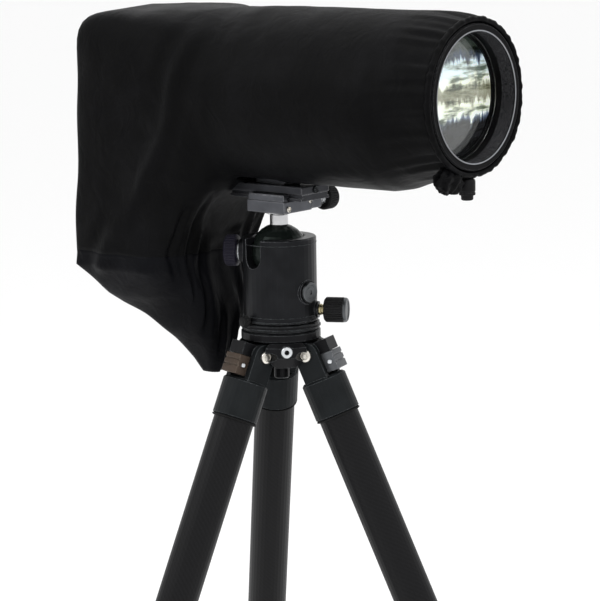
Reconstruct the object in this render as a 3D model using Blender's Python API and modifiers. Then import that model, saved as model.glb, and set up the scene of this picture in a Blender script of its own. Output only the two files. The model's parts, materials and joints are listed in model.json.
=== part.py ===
import math

import bmesh
import bpy
from mathutils import Vector

# A camera with a telephoto lens in a rain cover, on a ball head and a three-section carbon tripod.
# Sizes are in millimetres and angles in degrees. The lens points along -Y and the floor is z = 0.
# Heights in the head and the lens are measured from the top of the tripod, at the head's flange.
MM = 0.001
STEPS = 32

# Tripod
LEG_AZIMUTHS = {"left": 167.25, "middle": 47.25, "right": 287.25}
LEG_TILT = 23.4
LEG_LENGTH = 620.0
PIVOT_RADIUS = 30.0
PIVOT_DROP = 25.5
TONGUE_HALF = 10.2
EAR_INNER = 10.8
EAR_OUTER = 16.4
EAR_RADIUS = 11.0
BOLT_RADIUS = 5.8
BOLT_HALF = 19.6
SOCKET_AZIMUTH = 227.25
SOCKET_DROP = 20.4
COLLAR_RADIUS = 20.4
COLLAR_TOP = 24.0
COLLAR_END = 59.0
TUBE_RADII = {"upper": 18.1, "middle": 16.1, "lower": 14.1}
TUBE_WALL = 1.5
TUBE_SPANS = {"upper": (36.0, 500.0), "middle": (80.0, 556.0), "lower": (110.0, 594.0)}
LOCK_SPANS = {"upper": (478.0, 523.0), "lower": (525.0, 567.0)}
FOOT_RADIUS = 15.0
FOOT_CENTRE_HEIGHT = 11.0

# Ball head
HOUSING_RADIUS = 32.8
HOUSING_TOP = 78.0
BALL_RADIUS = 26.0
BALL_HEIGHT = 63.5
SOCKET_RADIUS = 26.6
NECK_RADIUS = 8.0
NOTCH_AZIMUTH = 172.0
MAIN_KNOB_AZIMUTH = 117.5
PAN_KNOB_AZIMUTH = 297.0
DIAL_AZIMUTH = 267.75
BASE_KNOB_AZIMUTH = 165.0
MAIN_KNOB_HEIGHT = 64.5
DIAL_HEIGHT = 30.5
PAN_KNOB_HEIGHT = 12.5
BASE_KNOB_HEIGHT = 5.4
NOTCH_HEIGHT = 61.5
NOTCH_RADIUS = 9.5
CLAMP_FRONT = -28.0
CLAMP_BACK = 15.0
CLAMP_HALF_WIDTH = 26.0
CLAMP_FLOOR = 102.0
CLAMP_DECK = 112.8
CLAMP_TOP = 118.3
CLAMP_KNOB_Y = -11.0
RAIL_HALF_WIDTH = 19.0

# Lens and camera
LENS_HEIGHT = 211.7
LENS_FRONT = 217.4
FRONT_RADIUS = 61.5
GLASS_RADIUS = 54.7
BARREL_RADIUS = 46.9
COLLAR_HALF_LENGTH = 18.0
CAMERA_FRONT = 108.0
CAMERA_BACK = 168.0
CAMERA_FLOOR = 113.0
CAMERA_SHOULDER = 238.0
CAMERA_HALF_WIDTH = 67.0
EYE_HEIGHT = 247.0

# Rain cover
CLOTH = 1.4
SLEEVE_BACK = 72.0
COVER_BACK = 180.0
COVER_FLOOR = 60.0
COVER_HALF_WIDTH = 75.0

TILT = math.radians(LEG_TILT)
FOOT_DISTANCE = LEG_LENGTH - FOOT_CENTRE_HEIGHT / math.cos(TILT)
FOOT_CIRCLE = PIVOT_RADIUS + FOOT_DISTANCE * math.sin(TILT)
FLANGE_HEIGHT = PIVOT_DROP + LEG_LENGTH * math.cos(TILT)


def axis_offset(trig):
    # The tripod's axis from the middle of the box round its three feet.
    reach = [trig(math.radians(azimuth)) for azimuth in LEG_AZIMUTHS.values()]
    return -FOOT_CIRCLE * (min(reach) + max(reach)) / 2


def clear_scene():
    for obj in list(bpy.data.objects):
        bpy.data.objects.remove(obj, do_unlink=True)


def new_collection(name):
    collection = bpy.data.collections.new(name)
    bpy.context.scene.collection.children.link(collection)
    return collection


def look(name, color, roughness, metallic=0.0, alpha=1.0):
    material = bpy.data.materials.new(name)
    material.use_nodes = True
    shader = material.node_tree.nodes["Principled BSDF"]
    shader.inputs["Base Color"].default_value = (*color, 1.0)
    shader.inputs["Roughness"].default_value = roughness
    shader.inputs["Metallic"].default_value = metallic
    shader.inputs["Alpha"].default_value = alpha
    material.diffuse_color = (*color, alpha)
    return material


clear_scene()
parts = new_collection("camera_on_tripod")
cutters = new_collection("cutters")

ANODISED = (0.030, 0.031, 0.034)
PLASTIC = (0.018, 0.018, 0.020)


def add(name, mesh, color, parent, at=(0, 0, 0), turn=(0, 0, 0), rough=0.5, metal=0.0, alpha=1.0):
    # A colour makes the object a node of the part; no colour makes it a cutter.
    obj = bpy.data.objects.new(name, mesh)
    obj.parent = parent
    obj.location = Vector(at) * MM
    obj.rotation_euler = [math.radians(angle) for angle in turn]
    if color is None:
        cutters.objects.link(obj)
        obj.hide_render = True
        obj.display_type = "WIRE"
    else:
        parts.objects.link(obj)
        mesh.materials.append(look(name, color, rough, metal, alpha))
    return obj


def empty(name, at, turn=(0, 0, 0), parent=None):
    obj = bpy.data.objects.new(name, None)
    parts.objects.link(obj)
    obj.parent = parent
    obj.location = Vector(at) * MM
    obj.rotation_euler = [math.radians(angle) for angle in turn]
    return obj


def mesh_from(bm, name, smooth=False):
    mesh = bpy.data.meshes.new(name)
    for face in bm.faces:
        face.smooth = smooth
    bm.to_mesh(mesh)
    bm.free()
    return mesh


def box(name, low, high, color, parent, bevel=0.0, at=(0, 0, 0), turn=(0, 0, 0), **surface):
    bm = bmesh.new()
    bmesh.ops.create_cube(bm, size=1.0)
    low, high = Vector(low), Vector(high)
    for vert in bm.verts:
        vert.co = [(l + h) / 2 + c * (h - l) for l, h, c in zip(low, high, vert.co)]
        vert.co *= MM
    obj = add(name, mesh_from(bm, name), color, parent, at, turn, **surface)
    if bevel:
        modifier = obj.modifiers.new("edges", "BEVEL")
        modifier.width = bevel * MM
        modifier.segments = 2
    return obj


def cylinder(name, radius, low, high, color, parent, at=(0, 0, 0), turn=(0, 0, 0), steps=STEPS, **surface):
    # A cylinder along its own Z axis, from low to high.
    bm = bmesh.new()
    bmesh.ops.create_cone(
        bm, cap_ends=True, segments=steps, radius1=radius * MM, radius2=radius * MM,
        depth=(high - low) * MM,
    )
    bmesh.ops.translate(bm, vec=(0, 0, (low + high) / 2 * MM), verts=bm.verts)
    return add(name, mesh_from(bm, name, True), color, parent, at, turn, **surface)


def turned(name, profile, color, parent, at=(0, 0, 0), turn=(0, 0, 0), steps=STEPS, ring=False, **surface):
    # Profile points are (radius, height), running down the outer side.
    bm = bmesh.new()
    verts = [bm.verts.new((r * MM, 0, z * MM)) for r, z in profile]
    for first, second in zip(verts, verts[1:] + verts[:1] if ring else verts[1:]):
        bm.edges.new((first, second))
    obj = add(name, mesh_from(bm, name), color, parent, at, turn, **surface)
    modifier = obj.modifiers.new("turn", "SCREW")
    modifier.steps = steps
    modifier.render_steps = steps
    modifier.use_merge_vertices = True
    modifier.merge_threshold = 0.00001
    modifier.use_smooth_shade = True
    return obj


def tube(inner, outer, low, high, chamfer=0.0):
    if not chamfer:
        return [(inner, high), (outer, high), (outer, low), (inner, low)]
    return [
        (inner, high),
        (outer - chamfer, high),
        (outer, high - chamfer),
        (outer, low + chamfer),
        (outer - chamfer, low),
        (inner, low),
    ]


def solid(radius, low, high, chamfer=1.0):
    return [
        (0, high),
        (radius - chamfer, high),
        (radius, high - chamfer),
        (radius, low + chamfer),
        (radius - chamfer, low),
        (0, low),
    ]


def arc(radius, centre, start, end, count):
    # Points on a circle in the (radius, height) plane, angles from straight down.
    angles = [math.radians(start + (end - start) * i / (count - 1)) for i in range(count)]
    return [(radius * math.sin(a), centre - radius * math.cos(a)) for a in angles]


def combine(target, other, operation):
    modifier = target.modifiers.new(other.name, "BOOLEAN")
    modifier.operation = operation
    modifier.solver = "EXACT"
    modifier.object = other


def cut(target, other):
    combine(target, other, "DIFFERENCE")


def join(target, other):
    combine(target, other, "UNION")


def radial(azimuth):
    # Turns a piece's own Z axis to point level, away from the tripod's axis.
    return (0, 90, azimuth)


def loft(name, sections, color, parent, capped, open_faces=None, **surface):
    # A skin through closed loops of points, thickened inwards to the cloth's thickness.
    bm = bmesh.new()
    rows = [[bm.verts.new(Vector(point) * MM) for point in section] for section in sections]
    count = len(rows[0])
    for level, (row, following) in enumerate(zip(rows, rows[1:])):
        for i in range(count):
            if open_faces and open_faces(level, i, count):
                continue
            j = (i + 1) % count
            bm.faces.new((row[i], row[j], following[j], following[i]))
    if capped:
        bm.faces.new(reversed(rows[0]))
        bm.faces.new(rows[-1])
    bmesh.ops.recalc_face_normals(bm, faces=bm.faces)
    obj = add(name, mesh_from(bm, name, True), color, parent, **surface)
    modifier = obj.modifiers.new("cloth", "SOLIDIFY")
    modifier.thickness = CLOTH * MM
    modifier.offset = -1
    return obj


def superellipse(half_width, half_height, power, angle):
    c, s = math.cos(angle), math.sin(angle)
    x = half_width * math.copysign(abs(c) ** (2 / power), c)
    y = half_height * math.copysign(abs(s) ** (2 / power), s)
    return x, y


def build_apex(axis):
    # The casting that carries the three legs, the plate on it and the screw that holds the head.
    hub = turned(
        "apex",
        [(0, -13.3), (35.0, -13.3), (38.5, -17.0), (38.5, -26.0), (30.0, -36.0), (0, -36.0)],
        ANODISED, axis, rough=0.55, metal=0.3,
    )
    for leg, azimuth in LEG_AZIMUTHS.items():
        pivot = empty(f"{leg}_tongue", (0, 0, 0), (0, 0, azimuth), axis)
        tongue = box(
            f"{leg}_tongue_bar", (12, -TONGUE_HALF, -35.5), (PIVOT_RADIUS, TONGUE_HALF, -15.0), None, pivot
        )
        knuckle = cylinder(
            f"{leg}_knuckle", 10.5, 0.2 - TONGUE_HALF, TONGUE_HALF - 0.2, None, pivot,
            at=(PIVOT_RADIUS, 0, -PIVOT_DROP), turn=(90, 0, 0), steps=24,
        )
        shoulder = box(
            f"{leg}_shoulder", (4.0, 0.7 - TONGUE_HALF, -3.7), (21.0, TONGUE_HALF - 0.7, 7.5), None, pivot,
            at=(PIVOT_RADIUS, 0, -PIVOT_DROP), turn=(0, -LEG_TILT, 0),
        )
        fork_room = box(
            f"{leg}_fork_room", (16.5, -BOLT_HALF - 0.6, -40), (50, BOLT_HALF + 0.6, -12), None, pivot
        )
        cut(hub, fork_room)
        for piece in (tongue, knuckle, shoulder):
            join(hub, piece)
        bore = cylinder(
            f"{leg}_pivot_bore", 4.4, -30, 30, None, pivot,
            at=(PIVOT_RADIUS, 0, -PIVOT_DROP), turn=(90, 0, 0), steps=16,
        )
        cut(hub, bore)
    screw_bore = cylinder("screw_bore", 7.2, -40, -12, None, axis, steps=24)
    cut(hub, screw_bore)
    socket_at, socket_turn = (0, 0, -SOCKET_DROP), radial(SOCKET_AZIMUTH)
    cut(hub, cylinder("socket_pocket", 5.4, 36.5, 45, None, axis, socket_at, socket_turn, 20))

    turned("platform", solid(35.5, -13.0, -5.0, 1.2), ANODISED, axis, rough=0.5, metal=0.4)
    turned("platform_screw", solid(6.8, -50.0, -13.4, 1.0), ANODISED, axis, steps=24, rough=0.4, metal=0.6)
    turned(
        "accessory_socket", tube(2.2, 5.0, 36.9, 39.6, 0.5), (0.62, 0.62, 0.60), axis,
        socket_at, socket_turn, 20, True, rough=0.25, metal=1.0,
    )


def build_leg(leg, azimuth, axis):
    level = math.radians(azimuth)
    place = (PIVOT_RADIUS * math.cos(level), PIVOT_RADIUS * math.sin(level), -PIVOT_DROP)
    pivot = empty(f"{leg}_leg_pivot", place, (0, -LEG_TILT, azimuth), axis)

    # The fork: a collar on the carbon tube with an ear on each side of the apex's tongue.
    yoke = turned(
        f"{leg}_yoke",
        [(0, -COLLAR_TOP), (COLLAR_RADIUS - 2, -COLLAR_TOP), (COLLAR_RADIUS, -COLLAR_TOP - 2),
         (COLLAR_RADIUS, -COLLAR_END + 1), (COLLAR_RADIUS - 1, -COLLAR_END), (0, -COLLAR_END)],
        (0.045, 0.050, 0.054), pivot, rough=0.5, metal=0.3,
    )
    for side in (-1, 1):
        near, far = sorted((side * EAR_INNER, side * EAR_OUTER))
        ear = cylinder(
            f"{leg}_ear_{side}", EAR_RADIUS, near, far, None, pivot, turn=(-90, 0, 0), steps=24
        )
        arm = box(
            f"{leg}_arm_{side}", (-EAR_RADIUS, near, -COLLAR_TOP - 16), (EAR_RADIUS, far, 0), None, pivot
        )
        join(yoke, ear)
        join(yoke, arm)
    bolt_bore = cylinder(f"{leg}_bolt_bore", 4.4, -30, 30, None, pivot, turn=(90, 0, 0), steps=16)
    cut(yoke, bolt_bore)
    tube_bore = cylinder(
        f"{leg}_tube_bore", TUBE_RADII["upper"] + 0.35, -COLLAR_END - 5, 0.6 - TUBE_SPANS["upper"][0],
        None, pivot,
    )
    cut(yoke, tube_bore)

    # The pivot bolt, with a head outside each ear.
    seat = EAR_OUTER + 0.4
    half_bolt = [(0, BOLT_HALF), (BOLT_RADIUS - 0.8, BOLT_HALF), (BOLT_RADIUS, BOLT_HALF - 0.8),
                 (BOLT_RADIUS, seat), (4.1, seat)]
    turned(
        f"{leg}_pivot_bolt", half_bolt + [(r, -z) for r, z in reversed(half_bolt)],
        (0.66, 0.62, 0.56), pivot, turn=(90, 0, 0), steps=18, rough=0.25, metal=1.0,
    )

    # The sprung tab that sets the leg's angle against the apex's shoulder.
    stop_colors = {"left": (0.16, 0.125, 0.10), "middle": (0.16, 0.125, 0.10), "right": (0.30, 0.31, 0.32)}
    box(
        f"{leg}_angle_stop", (11.0, -10.5, -21.6), (22.5, 10.5, -4.2), stop_colors[leg], pivot,
        bevel=1.5, rough=0.45, metal=0.5,
    )

    carbon = (0.020, 0.020, 0.022)
    for section, radius in TUBE_RADII.items():
        start, end = TUBE_SPANS[section]
        turned(
            f"{leg}_{section}_tube", tube(radius - TUBE_WALL, radius, -end, -start), carbon, pivot,
            steps=32 if section == "upper" else 24, ring=True, rough=0.38,
        )
    inner = {"upper": "middle", "lower": "lower"}
    outer = {"upper": "upper", "lower": "middle"}
    for lock, (start, end) in LOCK_SPANS.items():
        # Wide over the tube that carries it, narrow round the tube that slides through it.
        wide = TUBE_RADII[outer[lock]] + 0.4
        narrow = TUBE_RADII[inner[lock]] + 0.4
        carrier_end = TUBE_SPANS[outer[lock]][1] + 0.5
        rim = wide + 4.2
        turned(
            f"{leg}_{lock}_lock",
            [(wide, -start), (rim - 1.2, -start), (rim, -start - 1.5), (rim, -end + 8),
             (rim - 2, -end), (narrow, -end), (narrow, -carrier_end), (wide, -carrier_end)],
            (0.020, 0.020, 0.021), pivot, steps=24, ring=True, rough=0.75,
        )

    # The foot: a socket on the lowest tube and a rubber ball with a flat worn on the floor.
    plug_top = 18 - FOOT_DISTANCE
    plug = TUBE_RADII["lower"] - TUBE_WALL - 0.4
    rim = -TUBE_SPANS["lower"][1] - 0.4
    foot = turned(
        f"{leg}_foot",
        [(0, plug_top + 24), (plug, plug_top + 24), (plug, rim), (14.4, rim),
         (14.4, plug_top - 10), (10.0, -FOOT_DISTANCE), (0, -FOOT_DISTANCE)],
        (0.016, 0.016, 0.016), pivot, steps=24, rough=0.85,
    )
    bm = bmesh.new()
    bmesh.ops.create_uvsphere(bm, u_segments=20, v_segments=12, radius=FOOT_RADIUS * MM)
    reach = PIVOT_RADIUS + FOOT_DISTANCE * math.sin(TILT)
    ball_at = (reach * math.cos(level), reach * math.sin(level), FOOT_CENTRE_HEIGHT - FLANGE_HEIGHT)
    ball = add(f"{leg}_foot_ball", mesh_from(bm, f"{leg}_foot_ball"), None, axis, ball_at)
    join(foot, ball)
    below = box(f"{leg}_floor", (-40, -40, -60), (40, 40, -FOOT_CENTRE_HEIGHT), None, ball)
    cut(foot, below)


def build_head(axis):
    # The turntable under the housing, and the small knob at the foot of the housing that clamps it.
    turned("pan_base", solid(34.8, -4.5, 2.0, 0.8), ANODISED, axis, rough=0.4, metal=0.5)
    turned(
        "base_knob",
        [(0, 42.4), (4.0, 42.4), (4.8, 41.6), (4.8, 35.6), (2.0, 35.6), (2.0, 33.4), (0, 33.4)],
        PLASTIC, axis, (0, 0, BASE_KNOB_HEIGHT), radial(BASE_KNOB_AZIMUTH), 20, rough=0.6,
    )

    housing = turned(
        "housing", solid(HOUSING_RADIUS, 2.3, HOUSING_TOP), ANODISED, axis, steps=40, rough=0.42, metal=0.6
    )
    bosses = {
        "knob_boss": (10.7, 35.2, MAIN_KNOB_HEIGHT, MAIN_KNOB_AZIMUTH),
        "dial_boss": (10.9, 33.6, DIAL_HEIGHT, DIAL_AZIMUTH),
        "pan_boss": (7.4, 35.0, PAN_KNOB_HEIGHT, PAN_KNOB_AZIMUTH),
    }
    for name, (radius, reach, height, azimuth) in bosses.items():
        join(housing, cylinder(name, radius, 28.5, reach, None, axis, (0, 0, height), radial(azimuth), 24))
    rim = [(0, HOUSING_TOP + 4), (23.4, HOUSING_TOP + 4), (23.4, HOUSING_TOP - 0.4)]
    socket = arc(SOCKET_RADIUS, BALL_HEIGHT, 122.5, 0, 11)
    ball_room = turned("ball_room", rim + socket, None, axis, steps=24)
    cut(housing, ball_room)
    notch_end = cylinder(
        "notch_end", NOTCH_RADIUS, 18, 45, None, axis, (0, 0, NOTCH_HEIGHT), radial(NOTCH_AZIMUTH), 24
    )
    notch_sides = box(
        "notch_sides", (18, -NOTCH_RADIUS, NOTCH_HEIGHT), (45, NOTCH_RADIUS, HOUSING_TOP + 12), None, axis,
        turn=(0, 0, NOTCH_AZIMUTH),
    )
    cut(housing, notch_end)
    cut(housing, notch_sides)

    turned(
        "main_lock_knob", solid(14.0, 35.6, 48.7, 1.4), (0.022, 0.021, 0.034), axis,
        (0, 0, MAIN_KNOB_HEIGHT), radial(MAIN_KNOB_AZIMUTH), 32, rough=0.55,
    )
    turned(
        "friction_dial", solid(9.0, 33.9, 36.6, 0.6), (0.42, 0.45, 0.50), axis,
        (0, 0, DIAL_HEIGHT), radial(DIAL_AZIMUTH), 28, rough=0.35, metal=0.9,
    )
    turned(
        "pan_lock_knob",
        [(0, 61.0), (9.6, 61.0), (11.2, 59.6), (11.2, 42.0), (10.2, 40.6), (5.0, 40.6), (5.0, 35.3),
         (0, 35.3)],
        PLASTIC, axis, (0, 0, PAN_KNOB_HEIGHT), radial(PAN_KNOB_AZIMUTH), 32, rough=0.55,
    )

    bm = bmesh.new()
    bmesh.ops.create_uvsphere(bm, u_segments=24, v_segments=14, radius=BALL_RADIUS * MM)
    ball_centre = empty("ball_centre", (0, 0, BALL_HEIGHT), parent=axis)
    add("ball", mesh_from(bm, "ball", True), (0.028, 0.034, 0.030), ball_centre, rough=0.3, metal=0.6)
    hollow = arc(BALL_RADIUS + 0.35, BALL_HEIGHT, 180 - 18, 180, 5)
    turned(
        "ball_neck",
        [(0, 101.7), (13.5, 101.7), (13.5, 99.4), (NECK_RADIUS, 97.0), (NECK_RADIUS, 91.0)] + hollow,
        (0.45, 0.45, 0.46), axis, steps=28, rough=0.3, metal=1.0,
    )


def build_clamp(axis):
    # A dovetail clamp: the fixed jaw is part of the body, the other is drawn in by the knob.
    grey = (0.10, 0.105, 0.115)
    edge, parting = CLAMP_HALF_WIDTH, 12.7
    body = box(
        "clamp_body", (-edge, CLAMP_FRONT, CLAMP_FLOOR), (parting, CLAMP_BACK, CLAMP_DECK), grey, axis,
        bevel=1.0, rough=0.4, metal=0.7,
    )
    jaw = box(
        "clamp_jaw", (parting + 0.3, CLAMP_FRONT, CLAMP_FLOOR + 1), (edge, CLAMP_BACK, CLAMP_DECK), grey,
        axis, bevel=1.0, rough=0.4, metal=0.7,
    )
    for side, target in ((-1, body), (1, jaw)):
        for name, inner, low, high, inset in (
            ("wall", RAIL_HALF_WIDTH + 0.4, CLAMP_DECK - 3, CLAMP_TOP - 1, 1.3),
            ("lip", RAIL_HALF_WIDTH - 1.6, CLAMP_TOP - 2.3, CLAMP_TOP, 1.6),
        ):
            near, far = sorted((side * inner, side * (edge - inset)))
            corners = (near, CLAMP_FRONT + inset, low), (far, CLAMP_BACK - inset, high)
            join(target, box(f"{target.name}_{name}", *corners, None, axis))
    turned(
        "clamp_knob",
        [(0, 60.0), (9.6, 60.0), (11.2, 58.6), (11.2, 48.0), (9.8, 46.4), (4.5, 46.4), (4.5, edge + 0.3),
         (0, edge + 0.3)],
        PLASTIC, axis, (0, CLAMP_KNOB_Y, 107.5), radial(0), 28, rough=0.55,
    )


def build_lens_mount(axis):
    # The plate in the clamp, its post, and the collar that the lens turns in.
    front, back = -42.5, 40.0
    foot = box(
        "lens_foot", (-RAIL_HALF_WIDTH, front, CLAMP_TOP + 0.3), (RAIL_HALF_WIDTH, back, 126.2), ANODISED,
        axis, bevel=1.2, rough=0.4, metal=0.5,
    )
    for name, half, low, high in (
        ("foot_rail", RAIL_HALF_WIDTH, CLAMP_DECK + 0.4, CLAMP_DECK + 2.8),
        ("foot_web", RAIL_HALF_WIDTH - 2, CLAMP_DECK + 2.2, CLAMP_TOP + 1.2),
    ):
        join(foot, box(name, (-half, front + 0.5, low), (half, back - 0.5, high), None, axis))
    join(foot, box("foot_post", (-11.5, -17.5, 124.0), (11.5, 17.5, 157.0), None, axis, bevel=3.0))

    facing = (90, 0, 0)
    collar = turned(
        "tripod_collar", tube(BARREL_RADIUS + 0.4, 52.0, -COLLAR_HALF_LENGTH, COLLAR_HALF_LENGTH, 1.5),
        PLASTIC, axis, (0, 0, LENS_HEIGHT), facing, 32, True, rough=0.45, metal=0.4,
    )
    join(collar, box("collar_lug", (-11.5, -17, 157.4), (11.5, 17, 163.0), None, axis))
    turned(
        "collar_lock_knob", solid(7.0, 52.4, 67.0, 1.2), PLASTIC, axis,
        (0, 0, LENS_HEIGHT), (0, 125, 0), 24, rough=0.55,
    )


def build_lens(axis):
    # Turned pieces along the lens axis: a profile's height runs forwards.
    at = (0, 0, LENS_HEIGHT)
    facing = (90, 0, 0)
    black = dict(rough=0.4, metal=0.3)
    turned(
        "lens_barrel",
        [(50.0, 150.0), (54.0, 150.0), (54.0, 128.5), (48.5, 128.5), (48.5, 84.5), (54.0, 84.5),
         (52.0, 60.0), (BARREL_RADIUS, 22.0), (BARREL_RADIUS, -60.0), (40.0, -94.0),
         (34.0, -94.0), (40.0, -60.0), (42.5, 20.0), (45.5, 84.0)],
        PLASTIC, axis, at, facing, 32, True, **black,
    )
    turned(
        "focus_ring", tube(48.9, 55.5, 85.0, 128.0, 1.0), PLASTIC, axis, at, facing, 32, True, rough=0.8
    )
    turned(
        "front_barrel",
        [(GLASS_RADIUS, LENS_FRONT - 1.0), (GLASS_RADIUS + 1.0, LENS_FRONT),
         (FRONT_RADIUS - 1.0, LENS_FRONT), (FRONT_RADIUS, LENS_FRONT - 1.0),
         (FRONT_RADIUS, 166.0), (55.0, 150.4), (46.5, 150.4),
         (46.5, 188.0), (GLASS_RADIUS, 188.0)],
        PLASTIC, axis, at, facing, 40, True, **black,
    )
    turned(
        "front_glass",
        [(r, 202.5 - r * r / 620) for r in (0, 14, 28, 42, 54.3)] + [(54.3, 188.4), (0, 188.4)],
        (0.75, 0.82, 0.80), axis, at, facing, 40, rough=0.02, alpha=0.35,
    )
    turned(
        "lens_bayonet", tube(24.0, 33.0, -107.6, -94.4), (0.55, 0.55, 0.55), axis, at, facing, 24, True,
        rough=0.25, metal=1.0,
    )


def build_camera(axis):
    left, right = -CAMERA_HALF_WIDTH, CAMERA_HALF_WIDTH
    body = box(
        "camera_body", (left, CAMERA_FRONT, CAMERA_FLOOR), (right, CAMERA_BACK, CAMERA_SHOULDER), PLASTIC,
        axis, bevel=6.0, rough=0.6,
    )
    prism_low, prism_high = (-24, CAMERA_FRONT + 2, 225), (24, CAMERA_BACK - 0.6, 266)
    join(body, box("prism", prism_low, prism_high, None, axis, bevel=6.0))
    grip_low, grip_high = (left + 1, 86, CAMERA_FLOOR + 2), (left + 24, 118, CAMERA_SHOULDER - 2)
    join(body, box("grip", grip_low, grip_high, None, axis, bevel=7.0))
    button_at = (left + 13, 99, CAMERA_SHOULDER - 2)
    cut(body, cylinder("button_well", 6.4, -8, 4, None, axis, button_at, steps=20))
    turned(
        "shutter_button", solid(5.8, -4.6, 2.0), (0.05, 0.05, 0.05), axis, button_at, steps=20, rough=0.3
    )
    screen_low, screen_high = (-38, CAMERA_BACK + 0.3, 165), (38, CAMERA_BACK + 3.0, 220)
    box("rear_screen", screen_low, screen_high, (0.01, 0.01, 0.012), axis, rough=0.1)
    turned(
        "eyecup", tube(8.0, 14.0, CAMERA_BACK + 0.3, CAMERA_BACK + 6.0, 1.5), PLASTIC, axis,
        (0, 0, EYE_HEIGHT), (-90, 0, 0), 24, True, rough=0.9,
    )


def arch_section(y, half_width, top, shoulder, floor, power, turns=16):
    # A loop with an arched top and straight sides, in an upright plane across the lens axis.
    points = []
    for i in range(turns + 1):
        x, up = superellipse(half_width, top - shoulder, power, math.pi * i / turns)
        points.append((x, y, shoulder + up))
    middle = (shoulder + floor) / 2
    points += [(-half_width, y, middle), (-half_width, y, floor), (0, y, floor)]
    points += [(half_width, y, floor), (half_width, y, middle)]
    return points


def build_cover(axis):
    nylon = (0.011, 0.011, 0.012)
    # The sleeve: (y, radius, middle height), from the front rim back to the camera.
    sleeve_rings = [
        (-212, 65.5, 212.2), (-190, 69.5, 211.0), (-166, 72.5, 209.2), (-152, 75.9, 206.1),
        (-136, 77.3, 204.7), (10, 76.6, 203.8), (SLEEVE_BACK, 75.2, 203.0),
    ]
    turns = 28
    rings = [
        [
            (r * math.sin(2 * math.pi * i / turns), y, z + r * math.cos(2 * math.pi * i / turns))
            for i in range(turns)
        ]
        for y, r, z in sleeve_rings
    ]
    sleeve = loft("cover_sleeve", rings, nylon, axis, False, rough=0.6)
    foot_slot = box("foot_slot", (-25, -24, 100), (25, 24, 160), None, axis)
    cut(sleeve, foot_slot)

    # The back: y, half width, top, shoulder height, squareness.
    arches = [
        (SLEEVE_BACK + 0.4, COVER_HALF_WIDTH, 278.2, 203.0, 2.0),
        (105, COVER_HALF_WIDTH, 277.4, 206.0, 2.3),
        (145, COVER_HALF_WIDTH, 275.0, 214.0, 3.0),
        (170, COVER_HALF_WIDTH - 1, 273.0, 225.0, 4.0),
        (COVER_BACK, COVER_HALF_WIDTH - 7, 268.5, 228.0, 4.5),
    ]
    sections = [arch_section(y, w, top, shoulder, 40, power) for y, w, top, shoulder, power in arches]
    back = loft("cover_back", sections, nylon, axis, True, rough=0.6)
    bottom = box("cover_mouth", (-100, 60, 0), (100, 200, COVER_FLOOR), None, axis)
    cut(back, bottom)
    throat = cylinder("cover_throat", 73.6, -80, -60, None, axis, (0, 0, 203.0), (90, 0, 0), 36)
    cut(back, throat)

    # The skirt hangs from the back and narrows to a tip: height, half width, front y, back y.
    levels = [
        (COVER_FLOOR - 0.4, 74.6, 71.5, 180.0), (46, 74, 69, 184), (20, 56, 64, 160), (0, 39, 61, 136),
        (-20, 25, 63, 114), (-40, 13, 68, 97), (-52, 7, 74, 89),
    ]
    count = 28
    loops = []
    for z, half, front, rear in levels:
        loop = []
        for i in range(count):
            x, y = superellipse(half, (rear - front) / 2, 3.2, 2 * math.pi * i / count)
            loop.append((x, (rear + front) / 2 + y, z))
        loops.append(list(reversed(loop)))

    def in_mouth(level, i, total):
        # The side away from the lens is open below the second level.
        turn_here = 360 * (1 - (i + 0.5) / total)
        return level >= 1 and 35 < turn_here < 145

    loft("cover_skirt", loops, nylon, axis, False, in_mouth, rough=0.6)

    # The drawn hem round the lens, its cord lock and the lock's button.
    hem = [(64.8 + 2.2 * math.sin(a), 214.6 + 2.2 * math.cos(a)) for a in
           [math.radians(60 * i) for i in range(6)]]
    turned("cover_front_hem", hem, nylon, axis, (0, 0, LENS_HEIGHT), (90, 0, 0), 40, True, rough=0.7)
    lock_at = (-4, -209.5, 0)
    cup = [(0, 144.0), (5.5, 144.0), (7.0, 142.5), (7.0, 127.0), (5.7, 127.0), (5.7, 134.0), (0, 134.0)]
    turned("cord_lock", cup, PLASTIC, axis, lock_at, steps=20, rough=0.6)
    turned("cord_lock_button", solid(5.2, 121.0, 129.0, 1.0), PLASTIC, axis, lock_at, steps=20, rough=0.6)


tripod_axis = empty("tripod_axis", (axis_offset(math.cos), axis_offset(math.sin), FLANGE_HEIGHT))
build_apex(tripod_axis)
for leg_name, leg_azimuth in LEG_AZIMUTHS.items():
    build_leg(leg_name, leg_azimuth, tripod_axis)
build_head(tripod_axis)
build_clamp(tripod_axis)
build_lens_mount(tripod_axis)
build_lens(tripod_axis)
build_camera(tripod_axis)
build_cover(tripod_axis)
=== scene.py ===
import json
import math

import bmesh
import bpy
import numpy as np
from mathutils import Matrix, Vector, noise


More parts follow.
